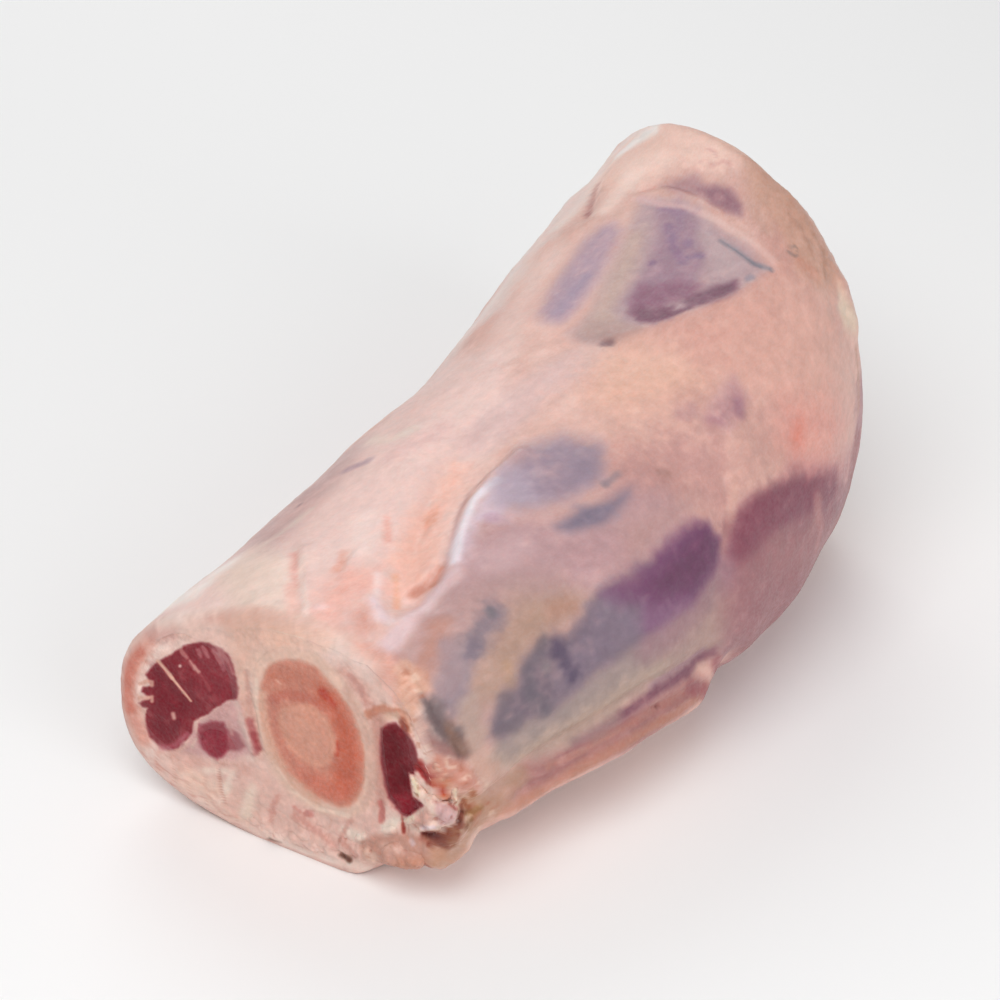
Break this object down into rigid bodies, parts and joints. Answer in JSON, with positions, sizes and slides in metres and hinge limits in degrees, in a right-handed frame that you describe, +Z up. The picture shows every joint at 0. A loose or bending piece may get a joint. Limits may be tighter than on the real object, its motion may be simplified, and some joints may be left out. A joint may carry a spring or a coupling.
{
  "type": "raw beef shank",
  "caption": "Raw beef shank on the bone, lying on its side, with muscles, spongy bone and marrow showing in its sawn cuts under a cover of fat and silverskin.",
  "frame": {"origin": "on the surface it lies on, under the middle of the bounding box", "axes": "+X along the leg from the narrow cut to the wide one, +Z up, -Y the fleshy side of the calf"},
  "size_m": [0.3488, 0.1822, 0.139],
  "materials": {
    "fat_silverskin": "moist translucent fat and silverskin with muscle showing through",
    "bone": "sawn cream bone, satin",
    "spongy_bone": "sawn spongy bone, moist, fine grained",
    "marrow": "soft pale marrow, moist",
    "muscle": "moist dark red muscle with pale lines of fat"
  },
  "bodies": {
    "root": {"fat_cover": "fat_silverskin", "bone": "bone", "spongy_bone": "spongy_bone", "marrow": "marrow", "left_muscle": "muscle", "small_muscle": "muscle", "right_muscle": "muscle"}
  },
  "joints": []
}
